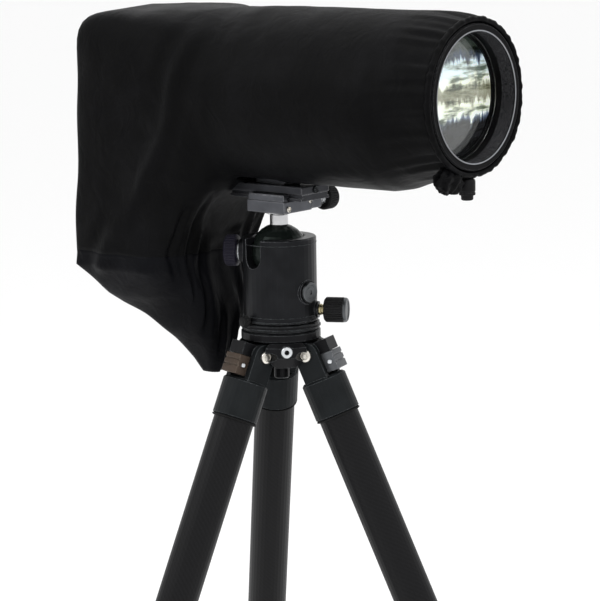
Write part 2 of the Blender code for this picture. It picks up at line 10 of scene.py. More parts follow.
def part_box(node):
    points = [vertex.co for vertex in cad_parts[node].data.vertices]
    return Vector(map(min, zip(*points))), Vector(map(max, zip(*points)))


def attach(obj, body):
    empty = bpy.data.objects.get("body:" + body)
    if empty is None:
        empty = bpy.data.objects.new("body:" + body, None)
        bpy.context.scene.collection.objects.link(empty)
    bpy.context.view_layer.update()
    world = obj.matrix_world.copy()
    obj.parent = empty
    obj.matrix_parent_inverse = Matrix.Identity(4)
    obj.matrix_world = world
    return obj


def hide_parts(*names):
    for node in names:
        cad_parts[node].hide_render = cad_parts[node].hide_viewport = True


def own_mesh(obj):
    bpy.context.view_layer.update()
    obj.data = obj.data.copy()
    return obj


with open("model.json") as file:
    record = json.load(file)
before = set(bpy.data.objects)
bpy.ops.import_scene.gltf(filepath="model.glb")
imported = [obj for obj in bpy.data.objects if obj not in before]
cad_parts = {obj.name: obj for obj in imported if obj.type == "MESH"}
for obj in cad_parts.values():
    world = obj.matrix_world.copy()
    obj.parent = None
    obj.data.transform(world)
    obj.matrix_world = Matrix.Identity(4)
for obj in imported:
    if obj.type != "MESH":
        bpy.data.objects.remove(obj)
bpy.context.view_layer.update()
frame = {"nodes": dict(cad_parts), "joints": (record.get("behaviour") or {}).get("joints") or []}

# A camera and its long lens in a rain cover, on a ball head and a carbon tripod.
# Shapes are given in millimetres from the tripod's axis and the plane where the head meets the tripod.
# The lens points along -Y.

joints = {joint["name"]: joint for joint in frame["joints"]}
nodes = frame["nodes"]
platformLow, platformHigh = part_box("platform")
platformDrop = 0.005  # the platform's top lies this far under the head's plane
origin = Vector((
    (platformLow.x + platformHigh.x) / 2,
    (platformLow.y + platformHigh.y) / 2,
    platformHigh.z + platformDrop,
))
legs = ("left", "middle", "right")


def place(x, y, z):
    return origin + Vector((x, y, z)) * 0.001


def axesAt(centre, across, beside, up):
    # A matrix with these three axes as its X, Y and Z, at centre.
    return Matrix((
        (across.x, beside.x, up.x, centre.x),
        (across.y, beside.y, up.y, centre.y),
        (across.z, beside.z, up.z, centre.z),
        (0, 0, 0, 1),
    ))


# Camera

view = dict(azimuth=-50.25, elevation=9.79, roll=-1.0, distance=2.5, right=0.0174, up=0.0194, lens=168.3)


def makeCamera():
    azimuth, elevation, roll = (math.radians(view[key]) for key in ("azimuth", "elevation", "roll"))
    back = Vector((
        math.sin(azimuth) * math.cos(elevation),
        -math.cos(azimuth) * math.cos(elevation),
        math.sin(elevation),
    ))
    level = Vector((math.cos(azimuth), math.sin(azimuth), 0))
    upright = back.cross(level)
    right = level * math.cos(roll) + upright * math.sin(roll)
    up = upright * math.cos(roll) - level * math.sin(roll)
    eye = origin + level * view["right"] + Vector((0, 0, view["up"])) + back * view["distance"]
    data = bpy.data.cameras.new("studioCamera")
    data.lens = view["lens"]
    data.sensor_width = 36
    data.clip_end = 200
    camera = bpy.data.objects.new("studioCamera", data)
    camera.matrix_world = axesAt(eye, right, up, back)
    bpy.context.scene.collection.objects.link(camera)
    bpy.context.scene.camera = camera
    return back, level


# Materials

def newMaterial(name):
    material = bpy.data.materials.new(name)
    material.use_nodes = True
    return material, material.node_tree.nodes["Principled BSDF"]


def add(material, kind, inputs=None, **settings):
    made = material.node_tree.nodes.new("ShaderNode" + kind)
    for key, value in settings.items():
        setattr(made, key, value)
    for key, value in (inputs or {}).items():
        if isinstance(value, bpy.types.NodeSocket):
            material.node_tree.links.new(value, made.inputs[key])
        else:
            made.inputs[key].default_value = value
    return made


def join(material, output, target):
    material.node_tree.links.new(output, target)


def calc(material, operation, first, second):
    return add(material, "Math", {0: first, 1: second}, operation=operation).outputs[0]


def scaled(material, value, factor):
    return calc(material, "MULTIPLY", value, factor)


def sine(material, value):
    return calc(material, "SINE", value, 0)


def added(material, first, firstShare, second, secondShare):
    return calc(material, "ADD", scaled(material, first, firstShare), scaled(material, second, secondShare))


def ranged(material, value, fromMin=0.0, fromMax=1.0, toMin=0.0, toMax=1.0):
    return add(material, "MapRange", {
        "Value": value, "From Min": fromMin, "From Max": fromMax, "To Min": toMin, "To Max": toMax
    }).outputs["Result"]


def cloudy(material, where, scale, detail, **more):
    return add(material, "TexNoise", {"Vector": where, "Scale": scale, "Detail": detail, **more}).outputs["Fac"]


def millimetres(material, kind="Object"):
    # The object's own coordinates, in millimetres.
    coordinates = add(material, "TexCoord").outputs[kind]
    return add(material, "VectorMath", {0: coordinates, "Scale": 1000.0}, operation="SCALE").outputs["Vector"]


def fromPoint(material, where, centre):
    return add(material, "VectorMath", {0: where, 1: centre * 1000}, operation="SUBTRACT").outputs["Vector"]


def measured(material, vector, axis):
    # How far the vector reaches along the axis.
    return add(material, "VectorMath", {0: vector, 1: axis}, operation="DOT_PRODUCT").outputs["Value"]


def ramp(material, factor, stops):
    made = add(material, "ValToRGB", {"Fac": factor})
    elements = made.color_ramp.elements
    while len(elements) < len(stops):
        elements.new(0.5)
    for element, (position, color) in zip(elements, stops):
        element.position = position
        element.color = (*color, 1)
    return made.outputs["Color"]


def shade(color, factor):
    return tuple(min(1.0, channel * factor) for channel in color)


def cutFinish(name, look):
    # Cast, anodised, moulded or rubber surfaces: grain, mottling, and lighter edges that are partly rubbed wear
    # and partly a painted highlight.
    material, shader = newMaterial(name)
    where = millimetres(material)
    grain = cloudy(material, where, look["grain"], 3.0)
    mottled = ramp(material, cloudy(material, where, 0.06, 4.0), [
        (0.3, shade(look["color"], 0.82)), (0.7, shade(look["color"], 1.2))
    ])
    rounded = add(material, "Bevel", {"Radius": look.get("edge", 0.5) * 0.001}, samples=4).outputs["Normal"]
    facing = measured(material, rounded, add(material, "NewGeometry").outputs["Normal"])
    patchy = cloudy(material, where, 0.9, 2.0)
    # Edges are mixed towards a lighter colour: partly real rubbed wear, partly a painted highlight along the
    # edges.
    rubbedAndLitEdge = ranged(material, facing, 0.995, 0.86)
    wearAndHighlight = calc(material, "MULTIPLY", rubbedAndLitEdge, ranged(material, patchy, 0.35, 0.65, 0, look["wearAndHighlight"]))
    mix = add(material, "Mix", {"Factor": wearAndHighlight}, data_type="RGBA")
    join(material, mottled, mix.inputs["A"])
    mix.inputs["B"].default_value = (*look.get("bareAndHighlight", shade(look["color"], 5.0)), 1)
    join(material, mix.outputs["Result"], shader.inputs["Base Color"])
    smoothest, roughest = look["rough"] - look["spread"], look["rough"] + look["spread"]
    join(material, ranged(material, grain, 0.3, 0.7, smoothest, roughest), shader.inputs["Roughness"])
    shader.inputs["Metallic"].default_value = look["metal"]
    shader.inputs["Specular IOR Level"].default_value = look.get("specular", 0.10)
    bump = add(material, "Bump", {
        "Height": grain, "Strength": look["bump"], "Distance": 0.0004, "Normal": rounded
    })
    join(material, bump.outputs["Normal"], shader.inputs["Normal"])
    return material


def turnedFinish(name, look, centre, direction):
    # Lathe-turned metal: fine rings about an axis.
    material, shader = newMaterial(name)
    where = millimetres(material)
    offset = fromPoint(material, where, centre)
    reach = add(material, "VectorMath", {0: offset}, operation="LENGTH").outputs["Value"]
    travel = calc(material, "ADD", measured(material, offset, direction), reach)
    rings = add(
        material, "TexNoise", {"W": scaled(material, travel, 5.0), "Detail": 3.0}, noise_dimensions="1D"
    ).outputs["Fac"]
    tone = added(material, rings, 0.6, cloudy(material, where, 0.12, 3.0), 0.4)
    join(material, ramp(material, tone, [
        (0.3, shade(look["color"], 0.75)), (0.7, shade(look["color"], 1.18))
    ]), shader.inputs["Base Color"])
    rough = look["rough"]
    join(material, ranged(material, rings, 0.3, 0.7, rough - 0.06, rough + 0.1), shader.inputs["Roughness"])
    shader.inputs["Metallic"].default_value = look["metal"]
    rounded = add(material, "Bevel", {"Radius": 0.0004}, samples=4).outputs["Normal"]
    bump = add(material, "Bump", {"Height": rings, "Strength": 0.12, "Distance": 0.0002, "Normal": rounded})
    join(material, bump.outputs["Normal"], shader.inputs["Normal"])
    return material


def carbonFinish(name, look, centre, tubeAxes):
    # A twill of carbon tows round a tube, under clear resin.
    material, shader = newMaterial(name)
    where = millimetres(material)
    offset = fromPoint(material, where, centre)
    across, beside, along = (measured(material, offset, axis) for axis in tubeAxes)
    angle = calc(material, "ARCTAN2", beside, across)
    turns = scaled(material, angle, look["tows"] / (2 * math.pi))
    rows = calc(material, "DIVIDE", along, look["pitch"])
    diagonal = sine(material, scaled(material, calc(material, "ADD", turns, rows), math.pi))
    over = calc(material, "GREATER_THAN", diagonal, 0.0)
    warp, weft = (
        calc(material, "ABSOLUTE", sine(material, scaled(material, count, 2 * math.pi)), 0)
        for count in (turns, rows)
    )
    weave = add(material, "Mix", {"Factor": over}, data_type="FLOAT")
    join(material, warp, weave.inputs["A"])
    join(material, weft, weave.inputs["B"])
    tone = added(material, over, 0.35, cloudy(material, where, 0.5, 4.0), 0.65)
    join(material, ramp(material, tone, [
        (0.25, shade(look["color"], 0.75)), (0.75, shade(look["color"], 1.3))
    ]), shader.inputs["Base Color"])
    rough = look["rough"]
    join(material, ranged(material, tone, 0, 1, rough - 0.06, rough + 0.1), shader.inputs["Roughness"])
    shader.inputs["Specular IOR Level"].default_value = 0.08
    shader.inputs["Coat Weight"].default_value = look["coat"]
    shader.inputs["Coat Roughness"].default_value = 0.3
    bump = add(material, "Bump", {"Height": weave.outputs["Result"], "Strength": 0.12, "Distance": 0.0002})
    join(material, bump.outputs["Normal"], shader.inputs["Normal"])
    return material


def clothFinish(name, look):
    # Coated nylon: plain weave that follows the cut's own lengths, mottling, crumples and sheen.
    material, shader = newMaterial(name)
    lengths = millimetres(material, "UV")
    split = add(material, "SeparateXYZ", {"Vector": lengths})
    warp, weft = (
        sine(material, scaled(material, split.outputs[axis], 2 * math.pi / look["weave"]))
        for axis in ("X", "Y")
    )
    weave = calc(material, "MULTIPLY", warp, weft)
    where = millimetres(material)
    mottling = cloudy(material, where, 0.018, 5.0, Roughness=0.6)
    tone = added(material, mottling, 0.75, cloudy(material, lengths, 0.7, 3.0), 0.25)
    join(material, ramp(material, tone, [
        (0.32, shade(look["color"], 0.7)), (0.5, look["color"]), (0.7, look["tint"])
    ]), shader.inputs["Base Color"])
    rough = look["rough"]
    join(material, ranged(material, tone, 0.3, 0.7, rough + 0.06, rough - 0.06), shader.inputs["Roughness"])
    shader.inputs["Sheen Weight"].default_value = look["sheen"]
    shader.inputs["Sheen Roughness"].default_value = 0.45
    shader.inputs["Sheen Tint"].default_value = (0.75, 0.8, 1.0, 1)
    shader.inputs["Specular IOR Level"].default_value = look["specular"]
    crumple = cloudy(material, where, 0.05, 4.0, Distortion=1.2)
    soft = add(material, "Bump", {"Height": crumple, "Strength": 0.35, "Distance": 0.003})
    fine = add(material, "Bump", {"Height": weave, "Strength": 0.25, "Distance": 0.0001})
    join(material, soft.outputs["Normal"], fine.inputs["Normal"])
    join(material, fine.outputs["Normal"], shader.inputs["Normal"])
    return material


# Shapes

def addObject(name, mesh):
    made = bpy.data.objects.new(name, mesh)
    bpy.context.scene.collection.objects.link(made)
    return made


def meshOf(name, bm, smooth=True):
    bmesh.ops.recalc_face_normals(bm, faces=bm.faces)
    for face in bm.faces:
        face.smooth = smooth
    mesh = bpy.data.meshes.new(name)
    bm.to_mesh(mesh)
    bm.free()
    return mesh


def frameAt(centre, direction, side=None):
    # A matrix whose Z runs along direction, at centre.
    up = Vector(direction).normalized()
    if side is None:
        side = (0, 0, 1) if abs(up.z) < 0.9 else (1, 0, 0)
    across = Vector(side).cross(up).normalized()
    beside = up.cross(across)
    return axesAt(centre, across, beside, up)


def turned(name, profile, where, segments=72, ribs=0, ring=False):
    # A profile of (radius, height, rib depth) in millimetres, turned about the frame's Z.
    bm = bmesh.new()
    rows = []
    for point in profile:
        radius, height = point[0], point[1]
        depth = point[2] if len(point) > 2 else 0.0
        if radius < 1e-6:
            rows.append([bm.verts.new((0, 0, height * 0.001))])
            continue
        row = []
        for i in range(segments):
            angle = 2 * math.pi * i / segments
            cut = 0.0
            if depth and ribs:
                phase = (angle * ribs / (2 * math.pi)) % 1.0
                wave = 0.5 + 0.5 * math.cos(2 * math.pi * phase)
                cut = depth * min(1.0, max(0.0, (wave - 0.5) / 0.35 + 0.5))
            r = (radius - cut) * 0.001
            row.append(bm.verts.new((r * math.cos(angle), r * math.sin(angle), height * 0.001)))
        rows.append(row)
    pairs = list(zip(rows, rows[1:] + rows[:1])) if ring else list(zip(rows, rows[1:]))
    for first, second in pairs:
        count = max(len(first), len(second))
        for i in range(count):
            j = (i + 1) % count
            corners = [first[i % len(first)], first[j % len(first)]]
            corners += [second[j % len(second)], second[i % len(second)]]
            unique = list(dict.fromkeys(corners))
            if len(unique) > 2:
                bm.faces.new(unique)
    mesh = meshOf(name, bm)
    mesh.transform(where)
    made = addObject(name, mesh)
    made.data.set_sharp_from_angle(angle=math.radians(38))
    return made


def turnedPiece(name, piece, where, material, body, slotName, *replaced):
    ribs, ring = piece.get("ribs", 0), piece.get("ring", False)
    made = turned(name, piece["profile"], where, piece["segments"], ribs=ribs, ring=ring)
    return settle(made, material, body, slotName, *replaced)


def block(name, low, high, where, bevel, grooves=()):
    # A bevelled bar; each groove is a (centre, size) box cut out of it.
    bm = bmesh.new()
    bmesh.ops.create_cube(bm, size=1.0)
    low, high = Vector(low), Vector(high)
    for vert in bm.verts:
        vert.co = Vector([(l + h) / 2 + c * (h - l) for l, h, c in zip(low, high, vert.co)]) * 0.001
    made = addObject(name, meshOf(name, bm, False))
    for index, (centre, size) in enumerate(grooves):
        cutter = bmesh.new()
        bmesh.ops.create_cube(cutter, size=1.0)
        for vert in cutter.verts:
            vert.co = (Vector(centre) + Vector([c * s for c, s in zip(vert.co, size)])) * 0.001
        tool = addObject(f"{name}Groove{index}", meshOf(f"{name}Groove{index}", cutter, False))
        change = made.modifiers.new("groove", "BOOLEAN")
        change.operation, change.solver, change.object = "DIFFERENCE", "EXACT", tool
        applyAll(made)
        bpy.data.objects.remove(tool)
    change = made.modifiers.new("edges", "BEVEL")
    change.width, change.segments, change.limit_method = bevel * 0.001, 3, "ANGLE"
    applyAll(made)
    made.data.transform(where)
    for face in made.data.polygons:
        face.use_smooth = True
    made.data.set_sharp_from_angle(angle=math.radians(35))
    return made


def applyAll(made):
    graph = bpy.context.evaluated_depsgraph_get()
    graph.update()
    mesh = bpy.data.meshes.new_from_object(made.evaluated_get(graph))
    made.modifiers.clear()
    made.data = mesh


def settle(made, material, body, slotName, *replaced):
    made.data.materials.clear()
    made.data.materials.append(material)
    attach(made, body)
    if replaced:
        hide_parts(*replaced)
    return made


def repaint(material, *names):
    for name in names:
        node = nodes[name]
        node.data.materials.clear()
        node.data.materials.append(material)


# Floor, world and lamps

stageLook = dict(floorColor=(0.96, 0.96, 0.96), worldColor=(1.0, 1.0, 1.0), worldStrength=1.0)
lamps = dict(  # metres to the right, up and towards the camera, then size in metres and watts
    keyLight=(0.9, 1.5, 1.2, 1.0, 20), fillLight=(-1.4, 0.9, 0.6, 0.9, 8), topLight=(0.0, 2.0, -0.4, 1.4, 8)
)


def makeStage(back, level):
    bm = bmesh.new()
    bmesh.ops.create_grid(bm, x_segments=8, y_segments=8, size=60.0)
    floor = addObject("studioFloor", meshOf("studioFloor", bm, False))
    floor.location = (0, 0, -0.0005)
    material, shader = newMaterial("paleFloor")
    shader.inputs["Base Color"].default_value = (*stageLook["floorColor"], 1)
    shader.inputs["Roughness"].default_value = 0.9
    floor.data.materials.append(material)

    world = bpy.data.worlds.new("studioWorld")
    world.use_nodes = True
    sky = world.node_tree.nodes["Background"]
    sky.inputs["Color"].default_value = (*stageLook["worldColor"], 1)
    sky.inputs["Strength"].default_value = stageLook["worldStrength"]
    bpy.context.scene.world = world
    bpy.context.scene.view_settings.view_transform = "Standard"

    target = place(0, 0, 120)
    for name, (side, height, distance, size, power) in lamps.items():
        data = bpy.data.lights.new(name, "AREA")
        data.energy, data.size = power, size
        light = addObject(name, data)
        light.location = target + level * side + back * distance + Vector((0, 0, height))
        light.rotation_euler = (target - light.location).to_track_quat("-Z", "Y").to_euler()


back, level = makeCamera()
makeStage(back, level)
print("camera, floor and lights placed")


# Rain cover

cover = dict(
    columns=200, thickness=0.9, color=(0.0018, 0.0018, 0.0020), tint=(0.0034, 0.0034, 0.0040), weave=0.55,
    rough=0.48, sheen=0.004, specular=0.045,
    elbow=(20.0, 60.0), innerBack=71.5, rearFace=181.5, topFace=277.5, halfWidth=76.3, corner=13.0,
    seamHeight=60.0,
)
sleeveRings = [  # y, radius, height of the middle
    (-213.5, 65.0, 212.0), (-205, 66.6, 211.9), (-190, 69.2, 211.2), (-176, 71.5, 210.0),
    (-166, 72.8, 209.0), (-152, 75.4, 206.3), (-136, 76.8, 204.8), (-90, 77.1, 204.6),
    (-40, 77.0, 204.3), (0, 76.8, 204.0), (20, 76.4, 203.4),
]
skirtLevels = [  # height, half width, front y, rear y
    (60, 75.6, 71.5, 181.5), (46, 74.5, 69.5, 184.5), (20, 58, 64.5, 161.5), (0, 39, 61.5, 136.0),
    (-20, 25, 63.0, 114.0), (-40, 13, 68.0, 97.0), (-52, 7.5, 74.0, 89.0),
]


def smooth(low, high, value):
    t = min(1.0, max(0.0, (value - low) / (high - low)))
    return t * t * (3 - 2 * t)


def between(table, key):
    # A table's other columns, interpolated by its first.
    keys = [row[0] for row in table]
    values = np.array([row[1:] for row in table], float)
    order = np.argsort(keys)
    return [float(np.interp(key, np.array(keys)[order], values[order, c])) for c in range(values.shape[1])]


def squarish(power, angle):
    c, s = math.cos(angle), math.sin(angle)
    return math.copysign(abs(s) ** (2 / power), s), math.copysign(abs(c) ** (2 / power), c)


def loopPoint(kind, amount, angle):
    # Angle 0 is the underside or front, half a turn is the top or rear; the first half is the -X side.
    if kind == "sleeve":
        radius, middle = between(sleeveRings, amount)
        return Vector((-radius * math.sin(angle), amount, middle - radius * math.cos(angle)))
    if kind == "elbow":
        rear = 1 - smooth(0.25, 0.55, abs(angle - math.pi) / math.pi)  # squarer corners behind
        swing = math.radians(amount)
        c, s = math.cos(swing), math.sin(swing)
        turn = 1 - amount / 90
        bottomAt = 203.4 - 76.4 - cover["elbow"][1]
        inner = bottomAt + (cover["innerBack"] - cover["elbow"][0] - bottomAt) * turn
        inner -= 6 * math.sin(math.pi * turn)
        across = cover["rearFace"] - cover["elbow"][0]
        above = cover["topFace"] + 2.3 * smooth(60, 90, amount) - cover["elbow"][1]
        corner = cover["corner"]
        outer = ((max(c, 1e-9) / across) ** corner + (s / above) ** corner) ** (-1 / corner)
        power = 2.0 + 3.6 * smooth(88, 55, amount) - 2.2 * smooth(30, 0, amount)
        power += rear * (3.4 * smooth(88, 50, amount) + 2.6 * smooth(40, 0, amount))
        width = cover["halfWidth"] + 1.4 * smooth(60, 90, amount)
        x, r = squarish(power, angle)
        reach = (inner + outer) / 2 - (outer - inner) / 2 * r
        return Vector((-width * x, cover["elbow"][0] + reach * c, cover["elbow"][1] + reach * s))
    half, front, rear = between(skirtLevels, amount)
    behind = 1 - smooth(0.25, 0.55, abs(angle - math.pi) / math.pi)
    x, r = squarish(3.4 + behind * 6.0 * smooth(-30, 40, amount), angle)
    return Vector((-half * x, (front + rear) / 2 - (rear - front) / 2 * r, amount))


def ridge(y, z, points, width):
    # 1 on a line through (y, z) points, fading to 0 at width.
    best = 1e9
    for (y0, z0), (y1, z1) in zip(points, points[1:]):
        dy, dz = y1 - y0, z1 - z0
        t = min(1.0, max(0.0, ((y - y0) * dy + (z - z0) * dz) / (dy * dy + dz * dz)))
        best = min(best, math.hypot(y - y0 - t * dy, z - z0 - t * dz))
    return max(0.0, 1 - best / width) ** 2 * (1 + 2 * min(1, best / width))


folds = dict(
    crease=[(40, 262), (52, 225), (65, 176), (98, 122), (150, 52)],  # a soft crease down each side, as (y, z)
    creaseHeight=4.6, creaseWidth=17, valleyDepth=2.6, valleyWidth=16, valleyOffset=(17, -6),
    pullFrom=(-6.0, 132.0), pullTo=(128.0, 24.0), pullDepth=24.0, pullSlope=0.55,  # from lens foot to rear corner
    fanCentre=(8, 128), fanDepth=1.9, fanCount=15,
    gatherDepth=1.7, gatherPitch=15.0, gatherFinePitch=8.7,
    pleatDepth=0.75, pleatCount=27, pleatFineCount=44, hemSlack=2.2,
    slack=2.4, slackScale=0.016, fineSlack=1.1, fineScale=0.045, sleeveCalm=0.35,
    rearBillow=2.6, rearHollow=1.2, rearBelly=4.5,
)


def folded(point, normal, angle):
    # Pulls, creases and gathers laid over the plain shape.
    x, y, z = point
    side = -1 if x < 0 else 1
    shift = Vector((0, 0, 0))
    sideways = smooth(25, 68, abs(x))
    offsetY, offsetZ = folds["valleyOffset"]
    shift.x += side * folds["creaseHeight"] * sideways * ridge(y, z, folds["crease"], folds["creaseWidth"])
    valley = ridge(y - offsetY, z - offsetZ, folds["crease"], folds["valleyWidth"])
    shift.x -= side * folds["valleyDepth"] * sideways * valley
    # cloth drawn in below the line from the lens foot to the lower rear corner
    (ay, az), (by, bz) = folds["pullFrom"], folds["pullTo"]
    length = math.hypot(by - ay, bz - az)
    under = ((z - az) * (by - ay) - (y - ay) * (bz - az)) / length
    drop = max(0.0, -under)
    pull = min(folds["pullDepth"], folds["pullSlope"] * drop) * smooth(150, 118, z) * smooth(-30, 20, y)
    shift.x -= side * pull * sideways
    # ripples that fan out from the lens foot
    fanY, fanZ = folds["fanCentre"]
    fan = math.degrees(math.atan2(z - fanZ, y - fanY))
    spread = math.hypot(y - fanY, z - fanZ)
    if z < 138 and y > 0:
        waver = 40 * noise.noise(Vector((fan * 0.05, side, 0)))
        ripples = math.sin(math.radians(fan * folds["fanCount"] + waver))
        fade = smooth(12, 55, spread) * smooth(190, 90, spread) * smooth(-6, 14, drop)
        shift += normal * folds["fanDepth"] * ripples * fade
    # gathers down the front wall and the skirt
    front = smooth(0.75, 0.2, abs(math.sin(angle / 2)))
    if z < 122 and y > 30:
        wobble = 5 * noise.noise(Vector((x * 0.03, z * 0.02, 4.1)))
        gathers = math.sin(2 * math.pi * (x + wobble) / folds["gatherPitch"])
        gathers += 0.5 * math.sin(2 * math.pi * (x - wobble) / folds["gatherFinePitch"] + 1)
        fade = smooth(122, 100, z) * (1 - 0.5 * smooth(70, 40, y))
        shift.y += folds["gatherDepth"] * front * gathers * fade
    # pleats behind the drawn hem
    drawn = smooth(-150, -211, y)
    if drawn > 0:
        s, c = math.sin(angle), math.cos(angle)
        pleat = math.sin(folds["pleatCount"] * angle + 3 * noise.noise(Vector((s * 2, c * 2, 0.5))))
        pleat += 0.6 * math.sin(folds["pleatFineCount"] * angle + 1.3)
        shift += normal * folds["pleatDepth"] * pleat * drawn
        shift += normal * folds["hemSlack"] * noise.noise(Vector((s * 2.4, c * 2.4, y * 0.03))) * drawn
    # slack everywhere, less of it along the lens
    slack = noise.noise(Vector((x, y * 0.6, z)) * folds["slackScale"] + Vector((3, 1, 7)))
    finer = noise.noise(Vector((x, y, z * 0.7)) * folds["fineScale"] + Vector((9, 4, 2)))
    calm = folds["sleeveCalm"] + (1 - folds["sleeveCalm"]) * smooth(0, 60, y)
    shift += normal * (folds["slack"] * slack + folds["fineSlack"] * finer) * calm
    # the rear panel billows in and out, and bellies low down
    rear = smooth(165, 178, y)
    billow = folds["rearBillow"] * noise.noise(Vector((x * 0.02, z * 0.018, 2.2)))
    billow += folds["rearBelly"] * smooth(145, 75, z) - folds["rearHollow"] * smooth(80, 200, z)
    shift.y += rear * billow
    return point + shift


def gridOf(rows):
    columns = cover["columns"]
    angles = [2 * math.pi * i / columns for i in range(columns)]
    return np.array([[loopPoint(kind, amount, a) for a in angles] for kind, amount in rows]), angles


def makeCover():
    lengths = np.concatenate([np.linspace(-213.5, -150, 24), np.linspace(-146, 14, 34)])
    rows = [("sleeve", y) for y in lengths]
    rows += [("elbow", amount) for amount in np.linspace(90, 0, 64)]
    split = len(rows) - 1
    rows += [("skirt", z) for z in np.linspace(57, -52, 40)]
    grid, angles = gridOf(rows)
    along = np.gradient(grid, axis=0)
    around = np.roll(grid, -1, axis=1) - np.roll(grid, 1, axis=1)
    normals = np.cross(around, along)
    normals /= np.linalg.norm(normals, axis=2, keepdims=True) + 1e-12
    centre = grid.mean(axis=1, keepdims=True)
    if ((grid - centre) * normals).sum() < 0:
        normals = -normals
    shaped = np.array([
        [folded(Vector(grid[k, i]), Vector(normals[k, i]), angles[i]) for i in range(len(angles))]
        for k in range(len(rows))
    ])
    shaped[split, :, 2] = cover["seamHeight"]
    return shaped, split


def sheetFrom(name, grid, skip=None):
    columns = grid.shape[1]
    bm = bmesh.new()
    weave = bm.loops.layers.uv.new("cut")
    verts = [[bm.verts.new(place(*point)) for point in row] for row in grid]
    girth = np.linalg.norm(np.roll(grid, -1, axis=1) - grid, axis=2).mean(axis=0)
    run = np.linalg.norm(np.diff(grid, axis=0), axis=2).mean(axis=1)
    across = np.concatenate([[0], np.cumsum(girth)]) * 0.001
    down = np.concatenate([[0], np.cumsum(run)]) * 0.001
    for k in range(grid.shape[0] - 1):
        for i in range(columns):
            if skip and skip(k, i):
                continue
            j = (i + 1) % columns
            face = bm.faces.new((verts[k][i], verts[k + 1][i], verts[k + 1][j], verts[k][j]))
            for loop, (a, b) in zip(face.loops, ((i, k), (i, k + 1), (i + 1, k + 1), (i + 1, k))):
                loop[weave].uv = (across[a], down[b])
    for vert in [v for v in bm.verts if not v.link_faces]:
        bm.verts.remove(vert)
    made = addObject(name, meshOf(name, bm))
    change = made.modifiers.new("thickness", "SOLIDIFY")
    change.thickness, change.offset = cover["thickness"] * 0.001, -1
    change.use_even_offset = False
    applyAll(made)
    return made


def sheetArea(made):
    return sum(face.area for face in made.data.polygons) / 2


coverGrid, seamRow = makeCover()
print("cover shaped")
nylon = clothFinish("blackNylon", cover)
skirtLook = dict(cover, color=(0.0022, 0.0023, 0.0032), tint=(0.0040, 0.0042, 0.0056))
skirtNylon = clothFinish("blackNylonSkirt", skirtLook)


def slotFace(k, i):
    # The slit under the lens that its foot comes through.
    x, y, z = coverGrid[k, i]
    return abs(x) < 25 and -24 < y < 24 and z < 150


def mouthFace(k, i):
    # The skirt's open rear side, below its hem.
    turn = (i + 0.5) / coverGrid.shape[1]
    return abs(turn - 0.5) < 0.125 and coverGrid[seamRow + k, i][2] < 46


coverMain = sheetFrom("coverMain", coverGrid[:seamRow + 1], slotFace)
coverSkirt = sheetFrom("coverSkirt", coverGrid[seamRow:], mouthFace)
settle(coverMain, nylon, "lens", "cover_nylon", "cover_sleeve", "cover_back")
settle(coverSkirt, skirtNylon, "lens", "cover_nylon", "cover_skirt")
print("cover areas", round(sheetArea(coverMain), 4), round(sheetArea(coverSkirt), 4))


# Drawn hem and its bunched end

hem = dict(radius=65.0, middle=211.9, roll=2.5, front=214.8, lumps=0.6, steps=260, sides=12)


def makeHem():
    bm = bmesh.new()
    weave = bm.loops.layers.uv.new("cut")
    steps, sides = hem["steps"], hem["sides"]
    rings = []
    for i in range(steps):
        angle = 2 * math.pi * i / steps
        lump = 0.7 * math.sin(31 * angle + 2 * math.sin(3 * angle)) + 0.5 * math.sin(53 * angle)
        lump *= hem["lumps"]
        drift = 1.5 * noise.noise(Vector((math.cos(angle) * 2, math.sin(angle) * 2, 3.3)))
        ring = []
        for j in range(sides):
            turn = 2 * math.pi * j / sides
            roll = hem["roll"] + 0.35 * lump
            radius = hem["radius"] + drift * 0.6 + 0.5 * lump + roll * math.cos(turn)
            y = -(hem["front"] + drift * 0.4 + roll * 1.1 * math.sin(turn))
            x, z = -radius * math.sin(angle), hem["middle"] - radius * math.cos(angle)
            ring.append(bm.verts.new(place(x, y, z)))
        rings.append(ring)
    for i in range(steps):
        for j in range(sides):
            following, beside = rings[(i + 1) % steps], (j + 1) % sides
            face = bm.faces.new((rings[i][j], following[j], following[beside], rings[i][beside]))
            for loop, (a, b) in zip(face.loops, ((i, j), (i + 1, j), (i + 1, j + 1), (i, j + 1))):
                loop[weave].uv = (a * 0.0016, b * 0.0013)
    return addObject("frontHem", meshOf("frontHem", bm))


frontHem = settle(makeHem(), nylon, "lens", "cover_nylon", "cover_front_hem")


tuft = dict(middle=(-29.5, -209.5, 143.5), reach=(17.0, 7.5, 10.5), swell=0.20, lumps=0.10, pleats=9, lean=-0.10)


def makeTuft():
    # The gathered end of the hem, bunched beside the cord lock.
    bm = bmesh.new()
    weave = bm.loops.layers.uv.new("cut")
    bmesh.ops.create_icosphere(bm, subdivisions=5, radius=1.0)
    middle = Vector(tuft["middle"])
    for vert in bm.verts:
        d = vert.co.normalized()
        swell = 1 + tuft["swell"] * noise.noise(d * 2.1 + Vector((5, 2, 8)))
        swell += tuft["lumps"] * noise.noise(d * 5.2)
        pleat = tuft["lumps"] * math.sin(tuft["pleats"] * math.atan2(d.x, d.y) + 3 * d.z)
        reach = Vector(tuft["reach"]) * (swell + pleat)
        point = middle + Vector((d.x * reach.x, d.y * reach.y, d.z * reach.z))
        point.z += tuft["lean"] * (point.x + 25) + 2.0 * max(0.0, d.z) * (1 - abs(d.x))
        vert.co = place(*point)
    for face in bm.faces:
        for loop in face.loops:
            loop[weave].uv = (loop.vert.co.x, loop.vert.co.z)
    return addObject("hemTuft", meshOf("hemTuft", bm))


hemTuft = settle(makeTuft(), nylon, "lens", "cover_nylon")
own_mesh(coverSkirt)
print("hem and tuft made")


# Front of the lens

